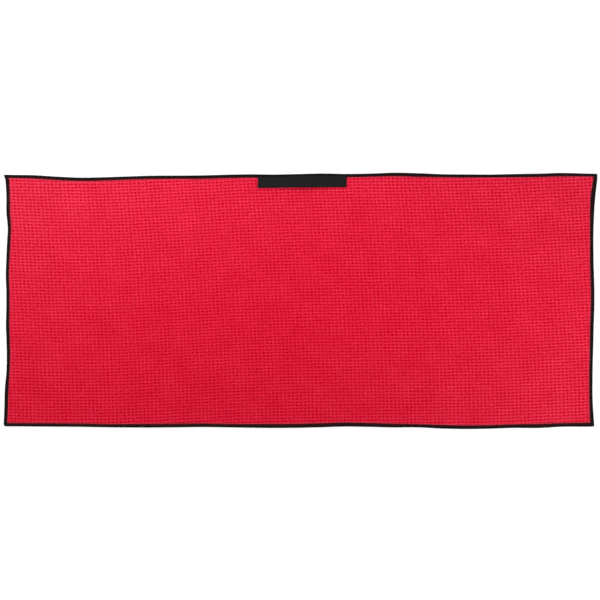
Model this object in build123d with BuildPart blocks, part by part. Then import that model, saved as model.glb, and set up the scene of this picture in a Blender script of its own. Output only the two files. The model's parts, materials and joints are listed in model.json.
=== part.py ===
from build123d import *
import os

# Golf towel: one rectangle of waffle-weave microfibre with an overlocked edge all
# round and a webbing hanger strap sewn on near the middle of one long edge.
#
# Frame: the towel lies flat. X runs along its length, Y across it towards the edge
# with the strap, Z up. The origin is the centre of the underside. Millimetres.
# In piece names, right and left are +X and -X, top and bottom are +Y and -Y.
#
# The cloth is one piece. It is cut into three panels at the two lines where the ends
# fold in over the middle, so that each end can turn about its own fold line.
# The seam and the needle thread are cut at the same lines.

os.makedirs("parts", exist_ok=True)

# ---- driving dimensions ------------------------------------------------------------
LENGTH = 1016.0          # overall, along X (40 in)
WIDTH = 436.0            # overall, along Y (a little over 17 in)
CLOTH_T = 2.4            # waffle cloth, ridge to ridge
CORNER_R = 3.0           # corner of the overlocked outline

EDGE_W = 5.6             # width of the overlock seam
EDGE_WALL = 0.95         # thread outside the raw edge of the cloth
HEM_T = 1.0              # cloth pressed flat inside the seam
CLEAR = 0.05             # running clearance between pieces

FOLD_X = 298.0           # fold lines at x = +-298: each end is 210 mm long
FOLD_GAP = 0.6           # gap between panels at a fold line

NEEDLE_W = 0.5           # needle thread line along the seam's inner side
NEEDLE_H = 0.4
NEEDLE_IN = 0.35         # from the edge of the full-thickness cloth to the line
NEEDLE_STOP = 0.5        # the line stops this far short of the strap at each end
SIT = 0.03               # gap under thread that sits on a surface

STRAP_L = 153.0          # hanger strap, sewn end to sewn end (6 in)
STRAP_W = 20.5           # 20 mm webbing
STRAP_IN = 1.2           # strap's long edge inside the towel's edge, so the seam shows
STRAP_X = 3.7            # strap's centre along the towel: sewn a little off the middle
PLY_T = 1.3              # one ply of webbing
STRAP_END_L = 12.0       # length of each turned-under, sewn end
STRAP_BOW = 5.0          # rise of the strap's middle above its own ends
STRAP_GAP = 0.1          # gap between the strap's middle and its sewn ends
END_R = 1.2              # roundness of the turned end

STITCH_PITCH = 3.8
STITCH_L = 2.7
STITCH_W = 0.6
STITCH_H = 0.45
STITCH_COUNT = 5
STITCH_IN = 3.1          # stitch row from the strap's end

# ---- derived: X and Y sizes of the cloth and seam are half sizes ---------------------
HALF_L, HALF_W = LENGTH / 2, WIDTH / 2
PANEL_X = FOLD_X - FOLD_GAP / 2                     # where the centre panel ends
WING_X = FOLD_X + FOLD_GAP / 2                      # where an end panel starts

SEAM_X, SEAM_Y = HALF_L - EDGE_W, HALF_W - EDGE_W   # inner side of the seam
SLAB_X, SLAB_Y = SEAM_X - CLEAR, SEAM_Y - CLEAR     # full-thickness cloth
SLOT_X, SLOT_Y = HALF_L - EDGE_WALL, HALF_W - EDGE_WALL  # slot in the seam for the hem
HEM_X, HEM_Y = SLOT_X - CLEAR, SLOT_Y - CLEAR       # raw edge of the pressed cloth
HEM_R = CORNER_R - EDGE_WALL
HEM_Z = (CLOTH_T - HEM_T) / 2
SLOT_LOW, SLOT_HIGH = HEM_Z - CLEAR, HEM_Z + HEM_T + CLEAR

NEEDLE_X, NEEDLE_Y = SLAB_X - NEEDLE_IN, SLAB_Y - NEEDLE_IN  # outer side of the line
NEEDLE_PLANE = Plane.XY.offset(CLOTH_T + SIT)

STRAP_Y = HALF_W - STRAP_IN - STRAP_W / 2           # strap centre line
STRAP_PLANE = Plane.XZ.offset(-STRAP_Y)             # lengthwise section of the strap
STRAP_Z = CLOTH_T + CLEAR                           # underside of a sewn end
TOP_PLY_Z = STRAP_Z + PLY_T
STRAP_TOP = STRAP_Z + 2 * PLY_T
SPAN = STRAP_L / 2 - STRAP_END_L - STRAP_GAP        # half length of strap middle

# Most pieces come in pairs, built from a side of +1 or -1.
ENDS = {"right": 1, "left": -1}                     # along X
EDGES = {"top": 1, "bottom": -1}                    # along Y


def save(builder, name):
    builder.part.label = name
    export_step(builder.part, f"parts/{name}.step")


def end_rectangle(side, outer_x, half_y, mode=Mode.ADD):
    """Rectangle in the current sketch, from an end's fold line out to outer_x."""
    with Locations((side * (WING_X + outer_x) / 2, 0)):
        Rectangle(outer_x - WING_X, 2 * half_y, mode=mode)


def outer_corners(sketch, side):
    return sketch.vertices().group_by(Axis.X)[-1 if side > 0 else 0]


# ---- waffle cloth: a full-thickness slab with a thin pressed hem ----------------------
def centre_panel():
    with BuildPart() as panel:
        with BuildSketch(Plane.XY):
            Rectangle(2 * PANEL_X, 2 * SLAB_Y)
        extrude(amount=CLOTH_T)
        with BuildSketch(Plane.XY.offset(HEM_Z)):
            Rectangle(2 * PANEL_X, 2 * HEM_Y)
        extrude(amount=HEM_T)
    return panel


def end_panel(side):
    with BuildPart() as panel:
        with BuildSketch(Plane.XY):
            end_rectangle(side, SLAB_X, SLAB_Y)
        extrude(amount=CLOTH_T)
        with BuildSketch(Plane.XY.offset(HEM_Z)) as hem:
            end_rectangle(side, HEM_X, HEM_Y)
            fillet(outer_corners(hem, side), HEM_R)
        extrude(amount=HEM_T)
    return panel


# ---- overlock seam: thread wrapped round the raw edge, a C in section -----------------
def overlock_centre(side):
    """Straight run along one long edge of the middle panel."""
    outer, inner, slot = side * HALF_W, side * SEAM_Y, side * SLOT_Y
    with BuildPart() as seam:
        with BuildSketch(Plane.YZ):
            with BuildLine():
                Polyline(
                    (inner, 0), (outer, 0), (outer, CLOTH_T), (inner, CLOTH_T),
                    (inner, SLOT_HIGH), (slot, SLOT_HIGH),
                    (slot, SLOT_LOW), (inner, SLOT_LOW), (inner, 0),
                )
            make_face()
        extrude(amount=PANEL_X, both=True)
    return seam


def overlock_end(side):
    """Run round the three sides of an end, with the C opening inwards."""
    with BuildPart() as seam:
        with BuildSketch(Plane.XY) as band:
            end_rectangle(side, HALF_L, HALF_W)
            fillet(outer_corners(band, side), CORNER_R)
            end_rectangle(side, SEAM_X, SEAM_Y, mode=Mode.SUBTRACT)
        extrude(amount=CLOTH_T)
        with BuildSketch(Plane.XY.offset(SLOT_LOW)) as slot:
            end_rectangle(side, SLOT_X, SLOT_Y)
            fillet(outer_corners(slot, side), HEM_R)
        extrude(amount=SLOT_HIGH - SLOT_LOW, mode=Mode.SUBTRACT)
    return seam


# ---- needle thread: the line of straight stitches along the seam's inner side ---------
def needle_thread_centre(side):
    line_y = NEEDLE_Y - NEEDLE_W / 2
    with BuildPart() as thread:
        with BuildSketch(NEEDLE_PLANE):
            with Locations((0, side * line_y)):
                Rectangle(2 * PANEL_X, NEEDLE_W)
            if side > 0:  # the strap lies across this line
                with Locations((STRAP_X, line_y)):
                    Rectangle(STRAP_L + 2 * NEEDLE_STOP, 2 * NEEDLE_W, mode=Mode.SUBTRACT)
        extrude(amount=NEEDLE_H)
    return thread


def needle_thread_end(side):
    with BuildPart() as thread:
        with BuildSketch(NEEDLE_PLANE):
            end_rectangle(side, NEEDLE_X, NEEDLE_Y)
            end_rectangle(side, NEEDLE_X - NEEDLE_W, NEEDLE_Y - NEEDLE_W, mode=Mode.SUBTRACT)
        extrude(amount=NEEDLE_H)
    return thread


# ---- hanger strap --------------------------------------------------------------------
def strap_middle():
    """Single ply that bows gently off the cloth."""
    left, right = STRAP_X - SPAN, STRAP_X + SPAN
    with BuildPart() as strap:
        with BuildSketch(STRAP_PLANE):
            with BuildLine():
                Line((left, TOP_PLY_Z), (left, STRAP_TOP))
                ThreePointArc(
                    (left, STRAP_TOP), (STRAP_X, STRAP_TOP + STRAP_BOW), (right, STRAP_TOP)
                )
                Line((right, STRAP_TOP), (right, TOP_PLY_Z))
                ThreePointArc(
                    (right, TOP_PLY_Z), (STRAP_X, TOP_PLY_Z + STRAP_BOW), (left, TOP_PLY_Z)
                )
            make_face()
        extrude(amount=STRAP_W / 2, both=True)
    return strap


def strap_end(side):
    """End turned under and sewn down flat: two plies joined by a rounded turn."""
    end_x = STRAP_X + side * (STRAP_L - STRAP_END_L) / 2
    with BuildPart() as strap:
        with BuildSketch(STRAP_PLANE) as turn:
            with Locations((end_x, TOP_PLY_Z)):
                Rectangle(STRAP_END_L, 2 * PLY_T)
            fillet(outer_corners(turn, side), END_R)
            # Gap between the plies, open towards the strap's middle.
            with Locations((end_x - side * PLY_T, TOP_PLY_Z)):
                Rectangle(STRAP_END_L, 2 * CLEAR, mode=Mode.SUBTRACT)
        extrude(amount=STRAP_W / 2, both=True)
    return strap


def strap_stitches(side):
    """Row of stitches across a sewn end."""
    row_x = STRAP_X + side * (STRAP_L / 2 - STITCH_IN)
    with BuildPart() as stitches:
        with BuildSketch(Plane.XY.offset(STRAP_TOP + SIT)):
            with Locations((row_x, STRAP_Y)):
                with GridLocations(0, STITCH_PITCH, 1, STITCH_COUNT):
                    SlotOverall(STITCH_L, STITCH_W, rotation=90)
        extrude(amount=STITCH_H)
    return stitches


# ---- build and write every piece -----------------------------------------------------
save(centre_panel(), "towel_centre_panel")
save(strap_middle(), "strap_middle")

for edge, side in EDGES.items():
    save(overlock_centre(side), f"overlock_{edge}_centre")
    save(needle_thread_centre(side), f"needle_thread_{edge}_centre")

for end, side in ENDS.items():
    save(end_panel(side), f"towel_{end}_panel")
    save(overlock_end(side), f"overlock_{end}_end")
    save(needle_thread_end(side), f"needle_thread_{end}_end")
    save(strap_end(side), f"strap_end_{end}")
    save(strap_stitches(side), f"strap_stitches_{end}")
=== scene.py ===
# A waffle-weave towel lying flat, long side along X, with an overlocked hem all round and a black
# strap on its top hem. It folds at a left and a right line. Top is +Y, right is +X, the table z = 0.
# Sizes are in mm and turned into metres where meshes, joints, floor and camera are made.
import json
import math
from collections import namedtuple

import bpy
import numpy as np
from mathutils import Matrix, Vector


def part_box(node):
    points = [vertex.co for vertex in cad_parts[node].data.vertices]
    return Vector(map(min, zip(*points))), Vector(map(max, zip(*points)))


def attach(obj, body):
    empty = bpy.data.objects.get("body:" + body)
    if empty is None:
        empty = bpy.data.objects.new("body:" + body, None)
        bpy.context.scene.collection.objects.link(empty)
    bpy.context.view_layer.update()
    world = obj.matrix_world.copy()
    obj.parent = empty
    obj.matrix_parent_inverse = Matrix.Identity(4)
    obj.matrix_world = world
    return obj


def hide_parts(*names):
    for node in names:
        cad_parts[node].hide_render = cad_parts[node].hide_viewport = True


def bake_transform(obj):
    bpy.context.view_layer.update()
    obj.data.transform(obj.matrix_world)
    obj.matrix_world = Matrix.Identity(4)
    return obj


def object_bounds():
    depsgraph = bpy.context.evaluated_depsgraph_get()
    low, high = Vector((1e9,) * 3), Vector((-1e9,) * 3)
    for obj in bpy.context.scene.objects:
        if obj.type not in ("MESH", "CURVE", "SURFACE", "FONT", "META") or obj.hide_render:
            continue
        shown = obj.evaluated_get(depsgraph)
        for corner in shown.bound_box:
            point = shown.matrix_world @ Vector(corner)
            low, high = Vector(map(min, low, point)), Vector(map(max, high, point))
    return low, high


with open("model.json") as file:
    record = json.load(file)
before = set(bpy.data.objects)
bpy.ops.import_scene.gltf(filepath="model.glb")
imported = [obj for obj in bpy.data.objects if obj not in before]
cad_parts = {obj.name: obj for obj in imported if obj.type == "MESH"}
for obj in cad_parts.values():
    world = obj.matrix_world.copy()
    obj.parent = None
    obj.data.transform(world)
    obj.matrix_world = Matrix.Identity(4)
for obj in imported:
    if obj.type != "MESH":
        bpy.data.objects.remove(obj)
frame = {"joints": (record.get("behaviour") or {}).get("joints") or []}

MM = 1e-3

# ------------------------------------------------------------------ sizes from the frame, mm
CAD_LO, CAD_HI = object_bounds()
JOINT = {joint["name"]: joint for joint in frame["joints"]}
panel_lo, panel_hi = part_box("towel_centre_panel")
sewn_lo, sewn_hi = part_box("strap_end_left")
middle_lo, middle_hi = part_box("strap_middle")
seam_lo, seam_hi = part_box("overlock_top_centre")

HALF_X = CAD_HI.x / MM
HALF_Y = CAD_HI.y / MM
FOLD_L = JOINT["left_fold"]["pos_m"][0] / MM
FOLD_R = JOINT["right_fold"]["pos_m"][0] / MM
CLOTH_T = (panel_hi.z - panel_lo.z) / MM
HEM_W = (seam_hi.y - seam_lo.y) / MM        # usual width of the overlock seam
HEM_STEP = HEM_W / 5.0                      # unit in which the seam's section is drawn

STRAP_YC = (sewn_lo.y + sewn_hi.y) / 2 / MM
STRAP_W = (sewn_hi.y - sewn_lo.y) / MM
PLY = (sewn_hi.z - sewn_lo.z) / MM / 2      # thickness of one ply
STRAP_XC = (middle_lo.x + middle_hi.x) / 2 / MM
STRAP_RISE = (middle_hi.z - sewn_hi.z) / MM
STRAP_HALF = STRAP_XC - sewn_lo.x / MM      # centre to outer end
STRAP_SEWN = STRAP_XC - sewn_hi.x / MM      # centre to where the sewn end stops
STRAP_TILT = .0096                          # sewn on a touch out of square

CELL_X, CELL_Y = 6.78, 5.42                 # waffle cell
RELIEF = 1.05                               # pit depth

# ------------------------------------------------------------------ outline of the hem, mm
# How far each side wanders outwards from the nominal rectangle, at even stations along it.
LONG_AT = np.linspace(-501.7, 494.8, 25)    # x, for the top and bottom
SHORT_AT = np.linspace(-205.8, 209.4, 16)   # y, for the left and right
TOP_OUT = [.07, -.44, -2.97, -4.60, -3.82, -2.44, -1.28, -1.07, -.73, .39, 1.14, .76, 1.54,
           2.53, 1.77, 2.38, 3.81, 3.01, 1.26, .85, .63, 1.51, 2.18, 3.37, 2.23]
BOTTOM_OUT = [-1.52, -1.14, -.89, -.52, .14, .57, .59, .29, -.21, .32, .97, 1.46, 1.07, .17,
              -1.04, -.39, .47, .43, 2.44, 3.30, 2.61, 1.36, 1.48, -.65, -.80]
LEFT_OUT = [3.91, 2.97, 2.14, -.39, -1.09, -.49, .44, -.28, -.19, .69, -.13, -1.32, -2.73,
            -.39, -.25, 1.06]
RIGHT_OUT = [.09, -1.76, -2.27, -2.06, -1.45, -.76, -.04, .91, 1.08, .43, -.45, -.67, -.45,
             .64, 2.67, 5.75]
# Seam width at the same stations, as a share of the usual width.
SEAM_SHARE = {
    "top": (LONG_AT, [1.02, 1.13, 1.15, 1.09, 1.07, 1.02, 1.07, 1.04, 1.14, 1.08, 1.07, 1.05, 1.05,
                      1.05, 1.06, 1.03, 1.17, 1.22, .99, .95, .89, 1.07, 1.10, 1.09, .91]),
    "bottom": (LONG_AT, [1.07, 1.07, 1.07, 1.05, .99, 1.12, 1.14, 1.16, 1.16, 1.07, 1.21, 1.30,
                         1.27, 1.29, 1.31, 1.26, 1.17, 1.00, 1.19, 1.14, 1.11, 1.12, 1.31, 1.17,
                         1.30]),
    "left": (SHORT_AT, [1.11, 1.14, 1.19, .98, 1.04, 1.11, 1.11, .96, 1.02, 1.00, 1.04, 1.07,
                        1.05, 1.19, 1.12, 1.22]),
    "right": (SHORT_AT, [1.38, 1.10, 1.08, 1.12, 1.05, 1.16, 1.18, 1.15, 1.15, 1.20, 1.15, 1.03,
                         1.11, 1.34, 1.49, 1.30]),
}
FLARE, FLARE_FROM, FLARE_OVER = 2.6, 206, 12    # the left side kicks out at its top corner
RIGHT_STEADY_Y = 211.5                          # above this the right side runs straight up


def smoothstep(t):
    return t * t * (3 - 2 * t)


def catmull(stations, values, at):
    """Smooth curve through evenly spaced stations, carried on a little past both ends."""
    past = .6
    knots = np.asarray(values, float)
    knots = np.concatenate([[2 * knots[0] - knots[1]], knots, [2 * knots[-1] - knots[-2]]])
    t = (np.asarray(at, float) - stations[0]) / (stations[1] - stations[0])
    t = np.clip(t, -past, len(stations) - 1 + past)
    span = np.clip(np.floor(t).astype(int), 0, len(stations) - 2)
    t = t - span
    before, start, end, after = (knots[span + k] for k in range(4))
    return .5 * (2 * start + (end - before) * t
                 + (2 * before - 5 * start + 4 * end - after) * t ** 2
                 + (3 * start - before - 3 * end + after) * t ** 3)


def top_y(x):
    return HALF_Y + catmull(LONG_AT, TOP_OUT, x)


def bottom_y(x):
    return -HALF_Y - catmull(LONG_AT, BOTTOM_OUT, x)


def left_x(y):
    flare = FLARE * np.clip((np.asarray(y, float) - FLARE_FROM) / FLARE_OVER, 0, 1) ** 2
    return -HALF_X - catmull(SHORT_AT, LEFT_OUT, y) - flare


def right_x(y):
    return HALF_X + catmull(SHORT_AT, RIGHT_OUT, np.minimum(y, RIGHT_STEADY_Y))


def side_distances(x, y):
    """For each side: distance in from it, and the place along it."""
    return {"top": (top_y(x) - y, x), "bottom": (y - bottom_y(x), x),
            "left": (x - left_x(y), y), "right": (right_x(y) - x, y)}


def seam_share(side, along):
    stations, shares = SEAM_SHARE[side]
    return np.interp(along, stations, shares)


def seam_distance(x, y):
    """Distance from the nearest side, scaled as if the seam had its usual width."""
    return np.minimum.reduce([distance / seam_share(side, along)
                              for side, (distance, along) in side_distances(x, y).items()])


# ------------------------------------------------------------------ how the cloth lies, mm
# Raised corners: height, side in x, side in y, reach in x, reach in y.
CORNER_LIFTS = [(1.3, -1, 1, 26, 22), (.9, 1, 1, 30, 20), (.6, 1, -1, 24, 24)]


def lift_at(x, y):
    """Height of the underside above the table: soft broad waves and a flutter of the hem."""
    x, y = np.asarray(x, float), np.asarray(y, float)
    turn = 2 * np.pi
    broad = .28 * (1 + np.sin(turn * (x / 330 + y / 900 + .18)) * np.cos(turn * (y / 290 - .12)))
    small = .12 * (1 + np.sin(turn * (x / 118 - y / 240)) * np.sin(turn * (y / 96 + x / 500)))
    inside = np.minimum.reduce([distance for distance, _ in side_distances(x, y).values()])
    flutter = np.exp(-np.clip(inside, 0, None) / 16) * (
        .32 * (1 + np.sin(turn * (x / 83 + .3)) * np.cos(turn * y / 71))
        + .22 * (1 + np.sin(turn * (x / 47 - y / 53))))
    corners = sum(
        height * np.exp(-(((x - in_x * HALF_X) / reach_x) ** 2
                          + ((y - in_y * HALF_Y) / reach_y) ** 2))
        for height, in_x, in_y, reach_x, reach_y in CORNER_LIFTS)
    # the cloth lies flatter round the strap
    away = 1 - np.exp(-((x / 105) ** 4 + ((y - STRAP_YC) / 30) ** 4))
    return (broad + small + flutter + corners) * (.25 + .75 * away)


# ------------------------------------------------------------------ weave lines, mm
DRIFT_AT = np.linspace(-620, 620, 1241)


def smoothed(stations, values, window):
    """Drift at every DRIFT_AT place, with the corners of the polyline rounded."""
    drift = np.interp(DRIFT_AT, stations, values)
    kernel = np.hanning(window) / np.hanning(window).sum()
    padded = np.concatenate([np.full(window, drift[0]), drift, np.full(window, drift[-1])])
    return np.convolve(padded, kernel, "same")[window:-window]


# Rows drift in y as they run along x; columns drift in x as they run along y.
ROW_DRIFT = smoothed(
    [-620, -508, -436, -325, -215, -104, 7, 118, 228, 339, 450, 508, 620],
    [-9.3, -11.0, -12.7, -12.5, -7.4, -1.4, 1.6, 2.9, 3.6, 5.3, 10.1, 13.3, 17.0], window=91)
COLUMN_DRIFT = smoothed(
    [-620, -218, -140, -71, 0, 67, 137, 218, 620],
    [13.0, 13.0, 10.9, 7.9, 3.4, -.6, -5.7, -13.0, -13.0], window=81)


def weave_xy(u, v):
    """Where the weave crossing (u, v), in cells, lies on the towel."""
    x, y = u * CELL_X, v * CELL_Y
    row_y = y
    for _ in range(12):                     # each drift depends on the other
        column_x = x + np.interp(row_y, DRIFT_AT, COLUMN_DRIFT)
        row_y = y + np.interp(column_x, DRIFT_AT, ROW_DRIFT)
    # a slow and a quick waver of the yarns
    waver_x = .32 * np.sin(x / 19.0 + 1.3 * np.sin(y / 37.0)) * np.cos(y / 23.0) \
        + .26 * np.sin(x / 7.3 + 2.1 * np.sin(y / 11.0)) * np.cos(y / 5.9 + x / 31.0)
    waver_y = .34 * np.sin(y / 15.0 + 1.7 * np.sin(x / 41.0)) * np.cos(x / 29.0 + .6) \
        + .22 * np.sin(y / 6.1 + 1.9 * np.sin(x / 13.0)) * np.cos(x / 8.7 - y / 37.0)
    return column_x + waver_x, row_y + waver_y


# ------------------------------------------------------------------ mesh helpers
# Vertices in mm, faces, and per face corner the uvs of the weave or thread and of the atlas.
Mesh = namedtuple("Mesh", "verts quads tris quad_uv tri_uv quad_atlas tri_atlas")


def build(name, mesh, layer):
    """Mesh object with its own uv layer and the atlas."""
    data = bpy.data.meshes.new(name)
    data.vertices.add(len(mesh.verts))
    data.vertices.foreach_set("co", (mesh.verts * MM).astype(np.float32).ravel())
    loops = np.concatenate([mesh.quads.ravel(), mesh.tris.ravel()]).astype(np.int32)
    data.loops.add(len(loops))
    data.loops.foreach_set("vertex_index", loops)
    totals = np.concatenate([np.full(len(mesh.quads), 4), np.full(len(mesh.tris), 3)])
    starts = np.concatenate([[0], np.cumsum(totals)[:-1]]).astype(np.int32)
    data.polygons.add(len(totals))
    data.polygons.foreach_set("loop_start", starts)
    data.polygons.foreach_set("use_smooth", np.full(len(totals), True))
    data.update(calc_edges=True)
    for layer_name, quad_uv, tri_uv in ((layer, mesh.quad_uv, mesh.tri_uv),
                                        ("OFBake", mesh.quad_atlas, mesh.tri_atlas)):
        corners = np.concatenate([quad_uv.reshape(-1, 2), tri_uv.reshape(-1, 2)])
        data.uv_layers.new(name=layer_name).data.foreach_set(
            "uv", corners.astype(np.float32).ravel())
    data.validate()
    ob = bpy.data.objects.new(name, data)
    bpy.context.scene.collection.objects.link(ob)
    return ob


def mark_sharp(ob, pairs):
    """Shades the listed vertex pairs as creases."""
    data = ob.data
    edges = np.zeros(len(data.edges) * 2, np.int64)
    data.edges.foreach_get("vertices", edges)
    edges = np.sort(edges.reshape(-1, 2), 1)
    count = len(data.vertices)
    pairs = np.sort(np.asarray(pairs, np.int64), 1)
    sharp = np.isin(edges[:, 0] * count + edges[:, 1], pairs[:, 0] * count + pairs[:, 1])
    data.edges.foreach_set("use_edge_sharp", sharp)


def loft(rings, sides):
    """Ring and side number of each quad along a closed tube, and the quads."""
    ring, side = np.meshgrid(np.arange(rings - 1), np.arange(sides), indexing="ij")
    after = (side + 1) % sides
    quads = np.stack([ring * sides + side, (ring + 1) * sides + side,
                      (ring + 1) * sides + after, ring * sides + after], -1).reshape(-1, 4)
    return ring, side, quads


def end_fans(rings, sides):
    """Triangle fans that close both ends of a tube."""
    first = np.array([[0, k, k + 1] for k in range(1, sides - 1)])
    last = np.array([[0, k + 1, k] for k in range(1, sides - 1)]) + (rings - 1) * sides
    return np.concatenate([first, last])


def corner_uv(u_start, u_end, v_start, v_end):
    """Four corner uvs for each quad of a loft."""
    u_start, u_end, v_start, v_end = np.broadcast_arrays(u_start, u_end, v_start, v_end)
    return np.stack([u_start, v_start, u_end, v_start, u_end, v_end, u_start, v_end],
                    -1).reshape(-1, 4, 2)


# ------------------------------------------------------------------ waffle cloth
CLOTH_INSET = 1.4                           # cloth stops this far inside the hem's edge
CLOTH_ROWS = 49                             # cells above and below the middle
PIT_JITTER = np.random.default_rng(11).uniform(.86, 1.08, (220, 120))
NO_DENSE = (1, 0)


def phases(start, end, dense):
    """Weave coordinates from start to end: 4 samples a cell, 8 in the dense range of cells."""
    out = []
    cell = math.floor(start)
    while cell < end:
        count = 8 if dense[0] <= cell <= dense[1] else 4
        out += [cell + k / count for k in range(count)]
        cell += 1
    out = np.array(out + [float(cell)])
    return out[(out >= start - 1e-9) & (out <= end + 1e-9)]


def pit_shape(u, v):
    """0 on the ridges, about 1 in the middle of a pit; each pit a little different."""
    column = np.floor(u).astype(int) % PIT_JITTER.shape[0]
    row = np.floor(v).astype(int) % PIT_JITTER.shape[1]
    return np.sin(np.pi * u) ** 2 * np.abs(np.sin(np.pi * v)) ** 3 * PIT_JITTER[column, row]


def cloth_heights(u, v, x, y):
    """Upper and lower face; the lower one's pits sit half a cell off the upper one's."""
    open_cloth = smoothstep(np.clip((seam_distance(x, y) - .88 * HEM_W) / 2.4, 0, 1))
    depth = RELIEF * (.25 + .75 * open_cloth)
    # ridges swell a little where they cross
    knot = .10 * np.cos(np.pi * u) ** 4 * np.cos(np.pi * v) ** 4
    lift = lift_at(x, y)
    upper = lift + CLOTH_T - .10 - depth * pit_shape(u, v) + knot * open_cloth \
        - .62 * (1 - open_cloth)
    lower = lift + .10 + depth * pit_shape(u + .5, v + .5) + .52 * (1 - open_cloth)
    return upper, np.maximum(lower, .02)


def cloth(name, start, end, dense):
    """Closed piece of cloth between two weave columns."""
    u, v = np.meshgrid(phases(start, end, dense), phases(-CLOTH_ROWS, CLOTH_ROWS, NO_DENSE),
                       indexing="ij")
    x, y = weave_xy(u, v)
    beyond = ((x < left_x(y) + CLOTH_INSET) * 1 + (x > right_x(y) - CLOTH_INSET) * 2
              + (y < bottom_y(x) + CLOTH_INSET) * 4 + (y > top_y(x) - CLOTH_INSET) * 8).ravel()
    for _ in range(3):
        x = np.clip(x, left_x(y) + CLOTH_INSET, right_x(y) - CLOTH_INSET)
        y = np.clip(y, bottom_y(x) + CLOTH_INSET, top_y(x) - CLOTH_INSET)
    upper_z, lower_z = cloth_heights(u, v, x, y)

    # faces with all corners beyond the same side go
    index = np.arange(u.size).reshape(u.shape)
    faces = np.stack([index[:-1, :-1].ravel(), index[1:, :-1].ravel(),
                      index[1:, 1:].ravel(), index[:-1, 1:].ravel()], 1)
    faces = faces[np.bitwise_and.reduce(beyond[faces], axis=1) == 0]
    edges = np.concatenate([faces[:, [k, (k + 1) % 4]] for k in range(4)]).astype(np.int64)
    border = edges[~np.isin(edges[:, 0] * u.size + edges[:, 1],
                            edges[:, 1] * u.size + edges[:, 0])]
    used = np.unique(faces)
    count = len(used)
    renumber = np.full(u.size, -1)
    renumber[used] = np.arange(count)

    x, y = x.ravel()[used], y.ravel()[used]
    verts = np.concatenate([np.stack([x, y, upper_z.ravel()[used]], 1),
                            np.stack([x, y, lower_z.ravel()[used]], 1)])
    upper = renumber[faces]
    rim = renumber[border]
    wall = np.stack([rim[:, 1], rim[:, 0], rim[:, 0] + count, rim[:, 1] + count], 1)
    quads = np.concatenate([upper, upper[:, ::-1] + count, wall])

    # uvs: weave coordinates, and an atlas with the two faces side by side
    weave = np.stack([u.ravel()[used], v.ravel()[used]], 1)
    weave = np.concatenate([weave, weave + .5])
    across = .485 * ((x - x.min()) / (x.max() - x.min()))
    up = .005 + .99 * ((y - y.min()) / (y.max() - y.min()))
    atlas = np.concatenate([np.stack([.005 + across, up], 1), np.stack([.995 - across, up], 1)])
    quad_atlas = atlas[quads]
    quad_atlas[-len(wall):, :2, 0] = .4935
    quad_atlas[-len(wall):, 2:, 0] = .5065
    no_uv = np.zeros((0, 3, 2))
    ob = build(name, Mesh(verts, quads, np.zeros((0, 3), int), weave[quads], no_uv,
                          quad_atlas, no_uv), "weave")
    mark_sharp(ob, np.concatenate([rim, rim + count]))
    return ob


# ------------------------------------------------------------------ thread tubes
THREAD_STEP = 7.3       # each thread's uv starts this much further on, so that threads differ


def tubes(paths, across, flat_radius, tall_radius, taper, sides=6):
    """Closed tubes along K paths of M points. across is a direction roughly square to them."""
    count, rings, _ = paths.shape
    tangent = np.gradient(paths, axis=1)
    tangent /= np.linalg.norm(tangent, axis=2, keepdims=True) + 1e-12
    flat = across - tangent * (across * tangent).sum(2, keepdims=True)
    flat /= np.linalg.norm(flat, axis=2, keepdims=True) + 1e-12
    tall = np.cross(tangent, flat)
    angle = (np.arange(sides) / sides * 2 * np.pi)[:, None]
    section = (flat[:, :, None] * np.cos(angle) * flat_radius
               + tall[:, :, None] * np.sin(angle) * tall_radius)
    section = section * np.asarray(taper, float)[None, :, None, None]
    verts = (paths[:, :, None, :] + section).reshape(-1, 3)

    ring, side, quads = loft(rings, sides)
    fans = end_fans(rings, sides)
    first = np.arange(count)[:, None, None] * rings * sides
    quads = (first + quads).reshape(-1, 4)[:, ::-1]
    tris = (first + fans).reshape(-1, 3)[:, ::-1]

    # thread uv: mm along the thread and turns round it
    begin = np.arange(count) * THREAD_STEP
    length = np.cumsum(np.linalg.norm(np.diff(paths, axis=1), axis=2), 1)
    length = np.concatenate([np.zeros((count, 1)), length], 1)
    quad_uv = corner_uv(length[:, ring] + begin[:, None, None],
                        length[:, ring + 1] + begin[:, None, None],
                        side / sides, (side + 1) / sides)[:, ::-1]
    tri_uv = np.zeros((len(tris), 3, 2))
    tri_uv[..., 0] = np.repeat(begin, len(fans))[:, None]

    # atlas: one small cell a thread, the ends in the cell's lower left corner
    columns = math.ceil(math.sqrt(count))
    cell = 1.0 / columns
    cell_x = (np.arange(count) % columns) * cell
    cell_y = (np.arange(count) // columns) * cell

    def in_cell(corner, share):
        return corner[:, None, None] + cell * (.08 + .84 * share)

    quad_atlas = corner_uv(in_cell(cell_x, ring / (rings - 1)),
                           in_cell(cell_x, (ring + 1) / (rings - 1)),
                           in_cell(cell_y, side / sides),
                           in_cell(cell_y, (side + 1) / sides))[:, ::-1]
    tri_atlas = np.zeros((len(tris), 3, 2))
    for axis, corner, spread in ((0, cell_x, [0, .02, .02]), (1, cell_y, [0, 0, .02])):
        tri_atlas[..., axis] = np.repeat(corner + cell * .03, len(fans))[:, None] \
            + np.array(spread) * cell
    return Mesh(verts, quads, tris, quad_uv, tri_uv, quad_atlas, tri_atlas)


def join(parts):
    """Makes one mesh of several, side by side in the atlas."""
    placed, first = [], 0
    narrow = [1.0 / len(parts), 1.0]
    for k, part in enumerate(parts):
        shift = [k / len(parts), 0]
        placed.append(part._replace(
            quads=part.quads + first, tris=part.tris + first,
            quad_atlas=part.quad_atlas * narrow + shift,
            tri_atlas=part.tri_atlas * narrow + shift))
        first += len(part.verts)
    return Mesh(*(np.concatenate(field) for field in zip(*placed)))


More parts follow.
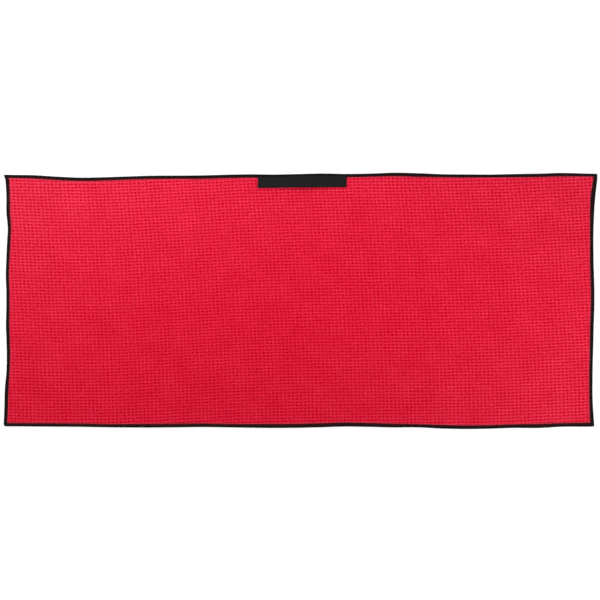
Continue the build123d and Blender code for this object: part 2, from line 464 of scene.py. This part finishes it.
# ------------------------------------------------------------------ the hem as four sewn runs
# For each side: its edge point at a place along it, direction along, direction inwards.
SIDES = {
    "top": (lambda at: (at, top_y(at)), (1, 0), (0, -1)),
    "bottom": (lambda at: (at, bottom_y(at)), (1, 0), (0, 1)),
    "left": (lambda at: (left_x(at), at), (0, 1), (1, 0)),
    "right": (lambda at: (right_x(at), at), (0, 1), (-1, 0)),
}
TOP_LEFT_R, TOP_RIGHT_R, BOTTOM_LEFT_R, BOTTOM_RIGHT_R = .8, 2.2, 3.6, 2.0
# Corner radii at the low and the high end of each side.
CORNER_R = {"top": (TOP_LEFT_R, TOP_RIGHT_R), "bottom": (BOTTOM_LEFT_R, BOTTOM_RIGHT_R),
            "left": (BOTTOM_LEFT_R, TOP_LEFT_R), "right": (BOTTOM_RIGHT_R, TOP_RIGHT_R)}
RUN_MARGIN = .35            # threads keep this far from the ends of a side
EDGE_MARGIN = .25           # and this far inside the neighbouring side

WRAP_PITCH = 1.42
# One looper thread, from the needle line over the edge and back underneath.
WRAP_IN = np.array([5.15, 4.75, 3.9, 2.7, 1.5, .6, .10, .0, .22, .9, 2.1, 3.5, 4.6, 5.05])
WRAP_Z = np.array([1.45, 1.92, 2.16, 2.34, 2.36, 2.14, 1.62, 1.14, .68, .40, .28, .30, .42, .78])
WRAP_SLANT = np.array([-1.25, -1.1, -.75, -.3, .15, .5, .68, .72, .66, .4, -.1, -.65, -1.1, -1.25])
WRAP_TAPER = [.5, .8, .9, 1, 1, 1, 1, 1, 1, 1, 1, .9, .8, .5]
UPPER_WRAP_Z = 1.2          # thread above this height can be raised

BAND_STEP = 3.0
BAND_SIDES = 12
BAND_TURN_MM = 9            # uv length once round the band

NEEDLE_PITCH = 2.9
NEEDLE_TAPER = [.55, .9, 1, 1, 1, .9, .55]
STRAP_CLEAR = .6            # no needle stitches under the strap or this close to it


def run_limits(side):
    """Where a side starts and ends, taken 1 mm in from the nominal rectangle."""
    if side in ("top", "bottom"):
        y = HALF_Y - 1 if side == "top" else 1 - HALF_Y
        return float(left_x(y)), float(right_x(y))
    x = HALF_X - 1 if side == "right" else 1 - HALF_X
    return float(bottom_y(x)), float(top_y(x))


def corner_inset(side, along):
    """How far the rounded corners pull the edge in."""
    low, high = run_limits(side)
    inset = np.zeros_like(along)
    for distance, radius in zip((along - low, high - along), CORNER_R[side]):
        short = radius - np.clip(distance, 0, radius)
        inset = np.maximum(inset, radius - np.sqrt(np.maximum(radius ** 2 - short ** 2, 0)))
    return inset


def hem_points(side, stations, inwards, height, slant):
    """Points for K stations and a section of M: inwards (M, or K x M), height, slant."""
    edge_point, _, inward = SIDES[side]
    low, high = run_limits(side)
    along = np.clip(stations[:, None] + slant[None, :], low + RUN_MARGIN, high - RUN_MARGIN)
    x, y = edge_point(along)
    inwards = np.atleast_2d(inwards)
    inwards = inwards + corner_inset(side, along) * np.clip(1 - inwards / HEM_W, 0, 1)
    x = x + inward[0] * inwards
    y = y + inward[1] * inwards
    if inward[0] == 0:
        x = np.clip(x, left_x(y) + EDGE_MARGIN, right_x(y) - EDGE_MARGIN)
    else:
        y = np.clip(y, bottom_y(x) + EDGE_MARGIN, top_y(x) - EDGE_MARGIN)
    return np.stack([x, y, height[None, :] + lift_at(x, y)], -1)


def spread(start, end, pitch):
    """Stations in the middle of equal steps close to the pitch, and the step."""
    count = max(2, int(round((end - start) / pitch)))
    return start + (np.arange(count) + .5) * (end - start) / count, (end - start) / count


def wraps(side, start, end, seed, raised):
    """Overlock looper threads round the edge."""
    rng = np.random.default_rng(seed)
    stations, _ = spread(start, end, WRAP_PITCH)
    stations = stations + rng.uniform(-.16, .16, len(stations))
    points = hem_points(side, stations,
                        WRAP_IN * HEM_STEP * seam_share(side, stations)[:, None],
                        WRAP_Z + raised * (WRAP_Z > UPPER_WRAP_Z),
                        WRAP_SLANT * rng.uniform(.85, 1.15))
    _, along, inward = SIDES[side]
    # uneven reach makes the toothed inner side
    reach = rng.uniform(-.34, .22, len(stations))[:, None] * np.clip((WRAP_IN - 2.7) / 2.4, 0, 1)
    points[..., :2] += reach[..., None] * inward
    return tubes(points, np.array([*along, 0.0]), flat_radius=.60, tall_radius=.30,
                 taper=WRAP_TAPER)


def band(side, start, end):
    """The closed, dense part of the seam round the edge: lens-shaped in section."""
    rings = max(3, int(round((end - start) / BAND_STEP)) + 1)
    stations = np.linspace(start, end, rings)
    angle = np.linspace(0, 2 * np.pi, BAND_SIDES + 1)[:-1]
    points = hem_points(side, stations, (1.75 - 1.55 * np.cos(angle)) * HEM_STEP,
                        1.2 + .98 * np.sin(angle) * (1 - .18 * np.cos(angle)),
                        np.zeros(BAND_SIDES))
    ring, turn, quads = loft(rings, BAND_SIDES)
    tris = end_fans(rings, BAND_SIDES)
    length = stations - start
    quad_uv = corner_uv(length[ring], length[ring + 1], turn / BAND_SIDES * BAND_TURN_MM,
                        (turn + 1) / BAND_SIDES * BAND_TURN_MM)
    quad_atlas = corner_uv(ring / rings, (ring + 1) / rings, turn / BAND_SIDES,
                           (turn + 1) / BAND_SIDES) * .97
    if side in ("top", "left"):             # so that faces point outwards
        quads, tris = quads[:, ::-1], tris[:, ::-1]
        quad_uv, quad_atlas = quad_uv[:, ::-1], quad_atlas[:, ::-1]
    tri_atlas = np.full((len(tris), 3, 2), .985)
    tri_atlas[:, 1, 0] += .004
    tri_atlas[:, 2, 1] += .004
    return Mesh(points.reshape(-1, 3), quads, tris, quad_uv, np.zeros((len(tris), 3, 2)),
                quad_atlas, tri_atlas)


def needle_line(side, start, end, seed):
    """Straight stitches lying just inside the seam."""
    rng = np.random.default_rng(seed)
    stations, step = spread(start, end, NEEDLE_PITCH)
    if side == "top":
        stations = stations[(stations < STRAP_XC - STRAP_HALF - STRAP_CLEAR)
                            | (stations > STRAP_XC + STRAP_HALF + STRAP_CLEAR)]
    t = np.linspace(-1, 1, len(NEEDLE_TAPER))
    inwards = np.repeat(HEM_W * seam_share(side, stations)[:, None] + .42, len(t), axis=1)
    height = 2.18 + .26 * (1 - np.abs(t) ** 3.0) - .55 * np.abs(t) ** 6
    points = hem_points(side, stations, inwards, height, t * (step * .43))
    _, _, inward = SIDES[side]
    points[..., :2] += rng.uniform(-.12, .12, len(stations))[:, None, None] * np.array(inward)
    return tubes(points, np.array([*inward, 0.0]), flat_radius=.33, tall_radius=.26,
                 taper=NEEDLE_TAPER)


# ------------------------------------------------------------------ strap
WARP, WEFT = STRAP_W / 16, 1.68             # spacing of the webbing's yarns
PLY_R = PLY / 2
PLY_GAP = .02
LOWER_Z = 2.72 + PLY / 2                    # middle of the lower ply, on top of the hem
UPPER_Z = LOWER_Z + PLY + PLY_GAP
SEW_X = STRAP_HALF - 3.1                    # stitch row, from the strap's centre
FACE_POINTS = 60                            # across the strap
STITCHES, STITCH_PITCH, STITCH_HALF = 5, 3.8, 1.42


def strap_path():
    """(distance from the centre, height): out along the lower ply, round, and back on top."""
    turn_x = STRAP_HALF - PLY
    lower_x = np.arange(STRAP_SEWN + 1.6, turn_x, .42)
    angle = np.radians(np.linspace(-90, 90, 9))
    upper_x = np.linspace(turn_x - .4, 0, 176)
    rise = STRAP_RISE * smoothstep(np.clip((STRAP_SEWN - upper_x) / STRAP_SEWN, 0, 1))
    pulled_in = .22 * np.exp(-((upper_x - SEW_X) / 1.3) ** 2)
    return np.concatenate([
        np.stack([lower_x, np.full(len(lower_x), LOWER_Z)], 1),
        np.stack([turn_x + (PLY_R + PLY_GAP) * np.cos(angle),
                  LOWER_Z + PLY_R + (PLY_R + PLY_GAP) * np.sin(angle)], 1),
        np.stack([upper_x, UPPER_Z + rise - pulled_in], 1)])


def strap_half(name, direction):
    """One half of the strap, from the turned-under end to the middle, with woven faces."""
    path = strap_path()
    rings = len(path)
    tangent = np.gradient(path, axis=0)
    tangent /= np.linalg.norm(tangent, axis=1, keepdims=True)
    normal = np.stack([tangent[:, 1], -tangent[:, 0]], 1)   # down on the lower ply, up on the upper
    length = np.cumsum(np.linalg.norm(np.diff(path, axis=0), axis=1))
    length = np.concatenate([[0], length])

    # section: outward face, +Y side, inward face, -Y side, as y and share of half a ply
    half_w = STRAP_W / 2
    flat = half_w - PLY_R
    face = np.linspace(-1, 1, FACE_POINTS)
    angle = np.radians(np.linspace(90, -90, 7)[1:-1])
    section = np.stack([
        np.concatenate([face * flat, flat + PLY_R * np.cos(angle),
                        face[::-1] * flat, -flat - PLY_R * np.cos(angle)]),
        np.concatenate([np.ones(FACE_POINTS), np.sin(angle),
                        -np.ones(FACE_POINTS), -np.sin(angle)])], 1)
    sides = len(section)
    along, across = np.meshgrid(length, section[:, 0], indexing="ij")
    out = np.broadcast_to(section[:, 1], along.shape)

    # plain weave, fainter at the selvedges, with a groove beside each
    ridge = np.cos(2 * np.pi * across / WARP)
    over = np.where(np.floor(across / WARP + .5) % 2 == 0, 1, -1)
    relief = .085 * ridge * over * np.cos(np.pi * along / WEFT) + .05 * ridge
    from_selvedge = np.abs(across) - (half_w - 2.0)
    relief = relief * (1 - .6 * np.clip(from_selvedge / 1.1, 0, 1)) \
        - .10 * np.exp(-(from_selvedge / .35) ** 2)
    height = PLY_R * out + np.sign(out) * np.where(np.abs(out) > .99, relief, 0)

    x = STRAP_XC + direction * (path[:, :1] + normal[:, :1] * height)
    y = STRAP_YC + across + STRAP_TILT * (x - STRAP_XC)
    crown = .16 * np.cos(np.pi * across / STRAP_W) - .06
    z = path[:, 1:] + normal[:, 1:] * height + lift_at(x, y) \
        + crown * np.clip(along / 30, 0, 1) * .6
    verts = np.stack([x, y, z], -1).reshape(-1, 3)

    # end caps: quads from face to face, fans at the rounded sides
    ring, side, quads = loft(rings, sides)
    last = (rings - 1) * sides
    side_points = len(angle)
    inner_end = 2 * FACE_POINTS + side_points
    cap = np.array([(k, k + 1, inner_end - 2 - k, inner_end - 1 - k)
                    for k in range(FACE_POINTS - 1)])
    fans = np.array(
        [(FACE_POINTS - 1, FACE_POINTS + k, FACE_POINTS + k + 1) for k in range(side_points)]
        + [(0, inner_end + k - 1, inner_end + k) for k in range(side_points)])
    quads = np.concatenate([quads, cap, cap[:, ::-1] + last])
    tris = np.concatenate([fans, fans[:, ::-1] + last])

    caps = 2 * len(cap)
    closed = np.concatenate([section, section[:1]]) * [1, PLY_R]
    perimeter = np.cumsum(np.linalg.norm(np.diff(closed, axis=0), axis=1))
    perimeter = np.concatenate([[0], perimeter])
    length_share, turn_share = length / length[-1], perimeter / perimeter[-1]
    quad_uv = np.concatenate([
        corner_uv(length[ring], length[ring + 1], section[side, 0],
                  section[(side + 1) % sides, 0]),
        np.zeros((caps, 4, 2))])
    quad_atlas = np.concatenate([
        corner_uv(length_share[ring], length_share[ring + 1], turn_share[side],
                  turn_share[side + 1]) * [.97, 1],
        np.tile([[.98, .2], [.985, .2], [.985, .21], [.98, .21]], (caps, 1, 1))])
    tri_atlas = np.tile([[.98, .3], [.985, .3], [.985, .31]], (len(tris), 1, 1))
    if direction > 0:                       # so that faces point outwards
        quads, tris = quads[:, ::-1], tris[:, ::-1]
        quad_uv, quad_atlas = quad_uv[:, ::-1], quad_atlas[:, ::-1]
    ob = build(name, Mesh(verts, quads, tris, quad_uv, np.zeros((len(tris), 3, 2)),
                          quad_atlas, tri_atlas), "strap")
    rim = np.stack([np.arange(sides), (np.arange(sides) + 1) % sides], 1)
    mark_sharp(ob, np.concatenate([rim, rim + last]))
    return ob


def strap_stitches(name, direction):
    """A row of stitches across the strap near its end."""
    middle_y = STRAP_YC + (np.arange(STITCHES) - (STITCHES - 1) / 2) * STITCH_PITCH
    t = np.linspace(-1, 1, 9)
    points = np.zeros((STITCHES, len(t), 3))
    points[..., 0] = STRAP_XC + direction * SEW_X
    points[..., 1] = middle_y[:, None] + t * STITCH_HALF + STRAP_TILT * direction * STRAP_HALF
    points[..., 2] = UPPER_Z + PLY_R - .12 + .22 * (1 - np.abs(t) ** 2.5) - .5 * np.abs(t) ** 7
    points[..., 2] += lift_at(points[..., 0], points[..., 1])
    return build(name, tubes(points, np.array([1.0, 0, 0]), flat_radius=.36, tall_radius=.28,
                             taper=[.5, .85, 1, 1, 1, 1, 1, .85, .5], sides=8), "thread")


# ------------------------------------------------------------------ material helpers
UNIT = (0, 1)
MID = (.3, .7)              # range that most of a noise falls in
WIDE = (.25, .75)


def grey(level):
    """Linear colour of an 8-bit sRGB grey."""
    share = level / 255
    value = share / 12.92 if share <= .04045 else ((share + .055) / 1.055) ** 2.4
    return (value, value, value, 1.0)


class Nodes:
    """A short way to write a material's nodes. Values may be numbers or sockets."""

    def __init__(self, name):
        self.mat = bpy.data.materials.new(name)
        self.mat.use_nodes = True
        self.tree = self.mat.node_tree
        self.tree.nodes.clear()
        out = self.new("OutputMaterial")
        self.bsdf = self.new("BsdfPrincipled")
        self.tree.links.new(self.bsdf.outputs[0], out.inputs[0])

    def new(self, kind, **settings):
        node = self.tree.nodes.new("ShaderNode" + kind)
        for key, value in settings.items():
            setattr(node, key, value)
        return node

    def feed(self, node, inputs):
        for key, value in inputs.items():
            if hasattr(value, "is_output") and value.is_output:
                self.tree.links.new(value, node.inputs[key])
            else:
                node.inputs[key].default_value = value
        return node.outputs

    def math(self, operation, *values, clamp=False):
        node = self.new("Math", operation=operation, use_clamp=clamp)
        return self.feed(node, dict(enumerate(values)))[0]

    def add(self, first, second, clamp=False):
        return self.math("ADD", first, second, clamp=clamp)

    def mul(self, value, by, clamp=False):
        return self.math("MULTIPLY", value, by, clamp=clamp)

    def mul_add(self, value, by, plus, clamp=False):
        return self.math("MULTIPLY_ADD", value, by, plus, clamp=clamp)

    def power(self, base, exponent):
        return self.math("POWER", base, exponent)

    def sine(self, value, by):
        return self.math("SINE", self.mul(value, by))

    def vector_math(self, operation, inputs):
        return self.feed(self.new("VectorMath", operation=operation), inputs)[0]

    def scale(self, vector, by):
        return self.vector_math("MULTIPLY", {0: vector, 1: by})

    def gain(self, color, by):
        """Colour times a number."""
        return self.vector_math("SCALE", {0: color, 3: by})

    def uv(self, layer):
        return self.new("UVMap", uv_map=layer).outputs[0]

    def split(self, vector):
        """x and y of a vector."""
        return self.feed(self.new("SeparateXYZ"), {0: vector})[:2]

    def vec(self, x, y, z=0.0):
        return self.feed(self.new("CombineXYZ"), {0: x, 1: y, 2: z})[0]

    def noise(self, at, scale=1.0, detail=2.0, rough=.5):
        return self.feed(self.new("TexNoise"), {"Vector": at, "Scale": scale, "Detail": detail,
                                                "Roughness": rough})["Fac"]

    def white(self, at):
        node = self.new("TexWhiteNoise", noise_dimensions="2D")
        return self.feed(node, {"Vector": at})["Value"]

    def remap(self, value, span, to):
        inputs = {0: value, 1: span[0], 2: span[1], 3: to[0], 4: to[1]}
        return self.feed(self.new("MapRange"), inputs)[0]

    def smooth(self, value, span):
        node = self.new("MapRange", interpolation_type="SMOOTHSTEP")
        return self.feed(node, {0: value, 1: span[0], 2: span[1]})[0]

    def mix(self, factor, first, second):
        node = self.new("Mix", data_type="RGBA", clamp_factor=True)
        return self.feed(node, {0: factor, 6: first, 7: second})[2]

    def bump(self, height, strength, distance):
        normal = self.feed(self.new("Bump"), {"Strength": strength, "Distance": distance,
                                              "Height": height})[0]
        self.feed(self.bsdf, {"Normal": normal})

    def finish(self, color, rough, spec, sheen=0.0, sheen_rough=.5, tint=(1, 1, 1, 1)):
        self.feed(self.bsdf, {
            "Base Color": color, "Roughness": rough, "Specular IOR Level": spec,
            "Sheen Weight": sheen, "Sheen Roughness": sheen_rough, "Sheen Tint": tint})
        return self.mat


# ------------------------------------------------------------------ materials
def waffle_material():
    # flank is the cloth's red; ridge is the same red paler and less saturated, a painted sheen for
    # the crests
    flank, ridge = (.650, .0080, .0365, 1), (.708, .0190, .0500, 1)
    # pit floor colour: painted shade, darker and deeper red than the flanks
    painted_pit_shade = (.440, .0, .0030, 1)
    fleck_rgb = (.042, .0060, .0102)
    yarns_u, yarns_v = 7, 6                 # yarns to a cell

    net = Nodes("waffle_cloth_red")
    uv = net.uv("weave")
    u, v = net.split(uv)
    hollow_u = net.power(net.sine(u, by=math.pi), exponent=2)
    hollow_v = net.power(net.sine(v, by=math.pi), exponent=2)
    # painted shade: the pits are painted darker and deeper red, on top of the shade their relief
    # casts; a pit's dark floor is wider along the rows, and a faint groove joins it to the next
    pit = net.mul(net.mul_add(net.smooth(hollow_u, span=(.10, .85)), by=.92, plus=.08),
                  net.smooth(hollow_v, span=(.28, .92)))
    per_pit = net.white(net.vec(net.math("FLOOR", u), net.math("FLOOR", v)))
    mottle = net.noise(net.scale(uv, by=(.42, .42, 1)), rough=.55)
    fine = net.noise(net.scale(uv, by=(2.1, 1.7, 1)), detail=1.0)
    depth = net.mul(pit, net.remap(per_pit, span=UNIT, to=(.76, 1.10)))
    depth = net.mul(depth, net.remap(mottle, span=WIDE, to=(.86, 1.12)))
    depth = net.mul(depth, net.remap(fine, span=WIDE, to=(.80, 1.18)), clamp=True)
    # painted sheen: the ridge crests, strongest along the row lines, are painted paler
    painted_crest_sheen = net.math("MAXIMUM", net.power(net.math("SUBTRACT", 1.0, hollow_v), exponent=3),
                     net.mul(net.power(net.math("SUBTRACT", 1.0, hollow_u), exponent=4), by=.45))
    color = net.mix(painted_crest_sheen, flank, ridge)
    # the pits take the painted shade colour
    color = net.mix(depth, color, painted_pit_shade)

    # loose fibres: pale and dark flecks about half a cell across
    fleck = net.noise(net.scale(uv, by=(1.75, 1.45, 1)), detail=1.0)
    fleck = net.remap(fleck, span=WIDE, to=(-1, 1))
    flecks = net.vec(*[net.mul(fleck, by=share) for share in fleck_rgb])
    color = net.vector_math("ADD", {0: color, 1: flecks})
    color = net.vector_math("MAXIMUM", {0: color})

    # painted sheen: paler and less saturated towards the ends and the top left, deeper red low down,
    # plus broad patches that vary at random
    x = net.mul(u, by=CELL_X / 500)
    y = net.mul(v, by=CELL_Y / 200)
    painted_sheen_and_patches = net.mul_add(net.mul(x, x), by=.50, plus=net.mul(x, by=.05))
    painted_sheen_and_patches = net.mul_add(net.mul(y, y), by=.30, plus=painted_sheen_and_patches)
    painted_sheen_and_patches = net.mul_add(y, by=.26, plus=painted_sheen_and_patches)
    painted_sheen_and_patches = net.mul_add(net.mul(x, y), by=-.30, plus=painted_sheen_and_patches)
    cloud = net.noise(net.scale(uv, by=(.15, .13, 1)), rough=.6)
    painted_sheen_and_patches = net.add(painted_sheen_and_patches, net.remap(cloud, span=MID, to=(-.24, .20)))
    # the painted sheen raises green and blue
    color = net.scale(color, by=net.vec(1.0, net.mul_add(painted_sheen_and_patches, by=.85, plus=1.0),
                                        net.mul_add(painted_sheen_and_patches, by=.42, plus=1.0)))

    # yarn lines: along the rows near the row ridges, along the columns near the column ridges
    yarn_u = net.sine(u, by=2 * math.pi * yarns_u)
    yarn_v = net.sine(v, by=2 * math.pi * yarns_v)
    on_row = net.math("GREATER_THAN", hollow_u, hollow_v)
    yarn = net.add(net.mul(yarn_v, on_row), net.mul(yarn_u, net.math("SUBTRACT", 1.0, on_row)))
    in_mm = (CELL_X, CELL_Y, 1)
    fuzz = net.noise(net.scale(uv, by=in_mm), scale=3.2, detail=3.0, rough=.65)
    hair = net.noise(net.scale(uv, by=in_mm), scale=7.5, detail=4.0, rough=.75)
    tone = net.add(net.remap(fuzz, span=MID, to=(.90, 1.06)), net.mul(yarn, by=.06))
    for noise, span, to in ((hair, MID, (.90, 1.09)), (mottle, WIDE, (.975, 1.03)),
                            (fine, WIDE, (.92, 1.08)), (cloud, MID, (.970, 1.030))):
        tone = net.mul(tone, net.remap(noise, span, to))
    # painted light: brighter towards the top, so the middle darkens a little from top to bottom
    painted_top_light = net.mul(y, net.mul_add(net.mul(x, x), by=-.044, plus=.060))
    # tone times the painted top light, and an overall gain
    tone = net.mul(tone, net.add(painted_top_light, 1.046))
    color = net.gain(color, tone)

    height = net.add(net.mul(fuzz, by=.8), net.mul(yarn, by=.34))
    height = net.mul_add(hair, by=.45, plus=height)
    net.bump(height, strength=.75, distance=.00050)
    return net.finish(color, rough=net.remap(fuzz, span=MID, to=(.86, .98)), spec=.01,
                      sheen=.22, sheen_rough=.40, tint=(1.0, .10, .18, 1))


def thread_material(name, base, light, spec):
    """Twisted spun thread: plies that wind round it, a little fuzz, stretches of varied shade."""
    twist_mm, plies = .62, 2.0
    net = Nodes(name)
    along, turn = net.split(net.uv("thread"))
    winding = net.add(net.math("DIVIDE", along, twist_mm), net.mul(turn, by=plies))
    ply = net.mul_add(net.sine(winding, by=2 * math.pi), by=.5, plus=.5)
    stretch = net.math("FLOOR", net.math("DIVIDE", along, THREAD_STEP))
    shade = net.white(net.vec(stretch, 0.0))
    fuzz = net.noise(net.vec(along, net.mul(turn, by=3.0)), scale=2.6, rough=.6)
    lightness = net.mul_add(ply, by=.45, plus=net.mul(fuzz, by=.5), clamp=True)
    color = net.mix(lightness, base, light)
    color = net.gain(color, net.remap(shade, span=UNIT, to=(.8, 1.18)))
    net.bump(net.add(ply, net.mul(fuzz, by=.5)), strength=.6, distance=.00012)
    return net.finish(color, rough=net.remap(fuzz, span=MID, to=(.62, .85)), spec=spec,
                      sheen=.03)


def strap_material():
    dark, light = (.0036, .0036, .0036, 1), (.0132, .0132, .0132, 1)
    filament_mm = .16
    net = Nodes("strap_webbing_black")
    uv = net.uv("strap")
    along, across = net.split(uv)
    yarn = net.math("DIVIDE", across, WARP)
    ridge = net.math("COSINE", net.mul(yarn, by=2 * math.pi))
    odd = net.math("FLOORED_MODULO", net.math("FLOOR", net.add(yarn, .5)), 2.0)
    over = net.math("SUBTRACT", net.mul(odd, by=-2.0), -1.0)        # 1 or -1 by turns
    weave = net.mul(net.mul(ridge, over),
                    net.math("COSINE", net.mul(along, by=math.pi / WEFT)))
    filament = net.sine(across, by=2 * math.pi / filament_mm)
    fuzz = net.noise(uv, scale=3.4, detail=3.0, rough=.6)
    broad = net.noise(uv, scale=.07)
    lightness = net.add(net.mul_add(weave, by=.16, plus=.5),
                        net.mul(net.math("SUBTRACT", fuzz, .5), by=.5), clamp=True)
    color = net.mix(lightness, dark, light)
    # darker along both long edges
    selvedge = net.remap(net.math("ABSOLUTE", across),
                         span=(STRAP_W / 2 - 2.3, STRAP_W / 2 - 1.3), to=(1.0, .45))
    color = net.gain(color, net.mul(selvedge, net.remap(broad, span=MID, to=(.93, 1.06))))
    height = net.add(net.mul(weave, by=.5), net.mul_add(filament, by=.12, plus=fuzz))
    net.bump(height, strength=.5, distance=.00016)
    return net.finish(color, rough=net.remap(fuzz, span=MID, to=(.60, .82)), spec=.08, sheen=.02)


CLOTH_MAT = waffle_material()
OVERLOCK_MAT = thread_material("overlock_thread_black", base=(.0016, .0004, .0005, 1),
                               light=(.014, .0055, .006, 1), spec=.07)
NEEDLE_MAT = thread_material("needle_thread_rose", base=(.42, .050, .075, 1),
                             light=(.62, .115, .150, 1), spec=.08)
SEWING_MAT = thread_material("strap_thread_black", base=grey(4), light=grey(20), spec=.15)
STRAP_MAT = strap_material()


def dress(ob, material):
    ob.data.materials.append(material)


# Pieces that lie across a fold line: the body beyond it, its x, and its side.
BENDS = {"left_bend": ("left_end", FOLD_L, -1), "right_bend": ("right_end", FOLD_R, 1)}


def place(ob, where):
    """Rides one body; a piece across a fold line only has its transform applied."""
    if where in BENDS:
        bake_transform(ob)
    else:
        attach(ob, where)


# ------------------------------------------------------------------ pieces: cloth
# Name, first and last weave column, where it goes, the panel it belongs to.
CLOTH_PIECES = [
    ("cloth_left_outer", -86, -48.75, "left_end", "towel_left_panel"),
    ("cloth_left_bend", -48.75, -24.75, "left_bend", "towel_left_panel"),
    ("cloth_centre_left", -24.75, .25, "middle", "towel_centre_panel"),
    ("cloth_centre_right", .25, 25.25, "middle", "towel_centre_panel"),
    ("cloth_right_bend", 25.25, 49.25, "right_bend", "towel_right_panel"),
    ("cloth_right_outer", 49.25, 86, "right_end", "towel_right_panel"),
]
DENSE_CELLS = 3             # cells each side of the fold's own that are sampled finely

for name, start, end, where, panel in CLOTH_PIECES:
    dense = NO_DENSE
    if where in BENDS:
        fold_cell = math.floor(BENDS[where][1] / CELL_X)
        dense = (fold_cell - DENSE_CELLS, fold_cell + DENSE_CELLS)
    ob = cloth(name, start, end, dense)
    dress(ob, CLOTH_MAT)
    place(ob, where)
    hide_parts(panel)

# ------------------------------------------------------------------ pieces: hem
SPLIT = abs(FOLD_R) + 36.0  # the end runs start well clear of the bend
END_GAP = .25               # seam stops this short of a side's end
NEEDLE_GAP = 5.6            # and the needle line this much shorter still
SHORT_RAISE = .16           # wraps on the short sides lie over those of the long ones


def hem(tag, runs, where, cad_tag, seed):
    """Seam and needle line of several runs: side, start, end, raise of the wraps."""
    seam, needle = [], []
    for k, (side, start, end, raised) in enumerate(runs):
        low, high = run_limits(side)
        seam.append(band(side, start, end))
        seam.append(wraps(side, start, end, seed + k, raised))
        needle_start = start + (NEEDLE_GAP if abs(start - low) < 1 else 0)
        needle_end = end - (NEEDLE_GAP if abs(end - high) < 1 else 0)
        needle.append(needle_line(side, needle_start, needle_end, seed + 50 + k))
    for prefix, parts, material, slot in (
            ("overlock_", seam, OVERLOCK_MAT, "overlock_thread"),
            ("needle_thread_", needle, NEEDLE_MAT, "needle_thread")):
        ob = build(prefix + tag, join(parts), "thread")
        dress(ob, material)
        place(ob, where)
        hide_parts(prefix + cad_tag)


for side, seed in (("top", 101), ("bottom", 121)):
    hem(side + "_left", [(side, -SPLIT, 0, 0)], "left_bend", side + "_centre", seed)
    hem(side + "_right", [(side, 0, SPLIT, 0)], "right_bend", side + "_centre", seed + 10)

RUN = {side: (run_limits(side)[0] + END_GAP, run_limits(side)[1] - END_GAP) for side in SIDES}
hem("left_end_run", [("top", RUN["top"][0], -SPLIT, 0), ("bottom", RUN["bottom"][0], -SPLIT, 0),
                     ("left", *RUN["left"], SHORT_RAISE)], "left_end", "left_end", 141)
hem("right_end_run", [("top", SPLIT, RUN["top"][1], 0), ("bottom", SPLIT, RUN["bottom"][1], 0),
                      ("right", *RUN["right"], SHORT_RAISE)], "right_end", "right_end", 151)

# ------------------------------------------------------------------ pieces: strap
for tag, direction in (("left", -1), ("right", 1)):
    ob = strap_half("strap_" + tag, direction)
    dress(ob, STRAP_MAT)
    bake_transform(ob)
    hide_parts("strap_end_" + tag, "strap_middle")
    ob = strap_stitches("strap_stitches_" + tag + "_thread", direction)
    dress(ob, SEWING_MAT)
    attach(ob, "middle")
    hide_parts("strap_stitches_" + tag)

# ------------------------------------------------------------------ stage
FLOOR_SIZE, FLOOR_Z = 14, -.0002            # metres
FLOOR_GLOW = .62                            # a white light table, as the camera sees it
WORLD_LIGHT, WORLD_SEEN = .59, .886         # strength as a light, and as the camera sees it
VIEW_WIDTH = 1038.0                         # mm across the picture at table height
LENS, SENSOR = 150, 36
CAMERA_Y = .0018                            # metres


def add_floor():
    bpy.ops.mesh.primitive_plane_add(size=FLOOR_SIZE, location=(0, 0, FLOOR_Z))
    floor = bpy.context.object
    floor.name = "floor"
    net = Nodes("floor_white")
    at = net.new("TexCoord").outputs["Object"]
    color = net.mix(net.noise(at, scale=3.0), (.445, .445, .445, 1), (.455, .455, .455, 1))
    seen = net.new("LightPath").outputs["Is Camera Ray"]
    net.feed(net.bsdf, {"Emission Color": (1, 1, 1, 1),
                        "Emission Strength": net.mul(seen, by=FLOOR_GLOW)})
    floor.data.materials.append(net.finish(color, rough=.9, spec=0.0))


def add_world():
    world = bpy.data.worlds.new("studio")
    bpy.context.scene.world = world
    world.use_nodes = True
    tree = world.node_tree
    background = tree.nodes["Background"]
    background.inputs[0].default_value = (1, 1, 1, 1)
    seen = tree.nodes.new("ShaderNodeLightPath").outputs["Is Camera Ray"]
    glow = tree.nodes.new("ShaderNodeMapRange")
    glow.inputs[3].default_value = WORLD_LIGHT
    glow.inputs[4].default_value = WORLD_SEEN
    tree.links.new(seen, glow.inputs[0])
    tree.links.new(glow.outputs[0], background.inputs[1])


def add_light(name, location, size, energy):
    """Rectangular light aimed at the middle of the table; metres and watts."""
    data = bpy.data.lights.new(name, "AREA")
    data.shape = "RECTANGLE"
    data.size, data.size_y = size
    data.energy = energy
    ob = bpy.data.objects.new(name, data)
    bpy.context.scene.collection.objects.link(ob)
    ob.location = location
    ob.rotation_euler = (-Vector(location)).to_track_quat("-Z", "Y").to_euler()


def add_camera():
    """Looks straight down."""
    data = bpy.data.cameras.new("camera")
    camera = bpy.data.objects.new("camera", data)
    bpy.context.scene.collection.objects.link(camera)
    bpy.context.scene.camera = camera
    data.lens = LENS
    data.sensor_width = SENSOR
    data.clip_end = 60
    camera.location = (0, CAMERA_Y, VIEW_WIDTH / 2 * MM / (SENSOR / 2 / LENS))


add_floor()
add_world()
add_light("key", location=(-.60, .55, .90), size=(.9, .8), energy=10.3)
add_light("fill", location=(.78, -.18, .72), size=(.6, .6), energy=4.8)
add_camera()
bpy.context.scene.view_settings.view_transform = "Standard"
bpy.context.scene.view_settings.look = "None"
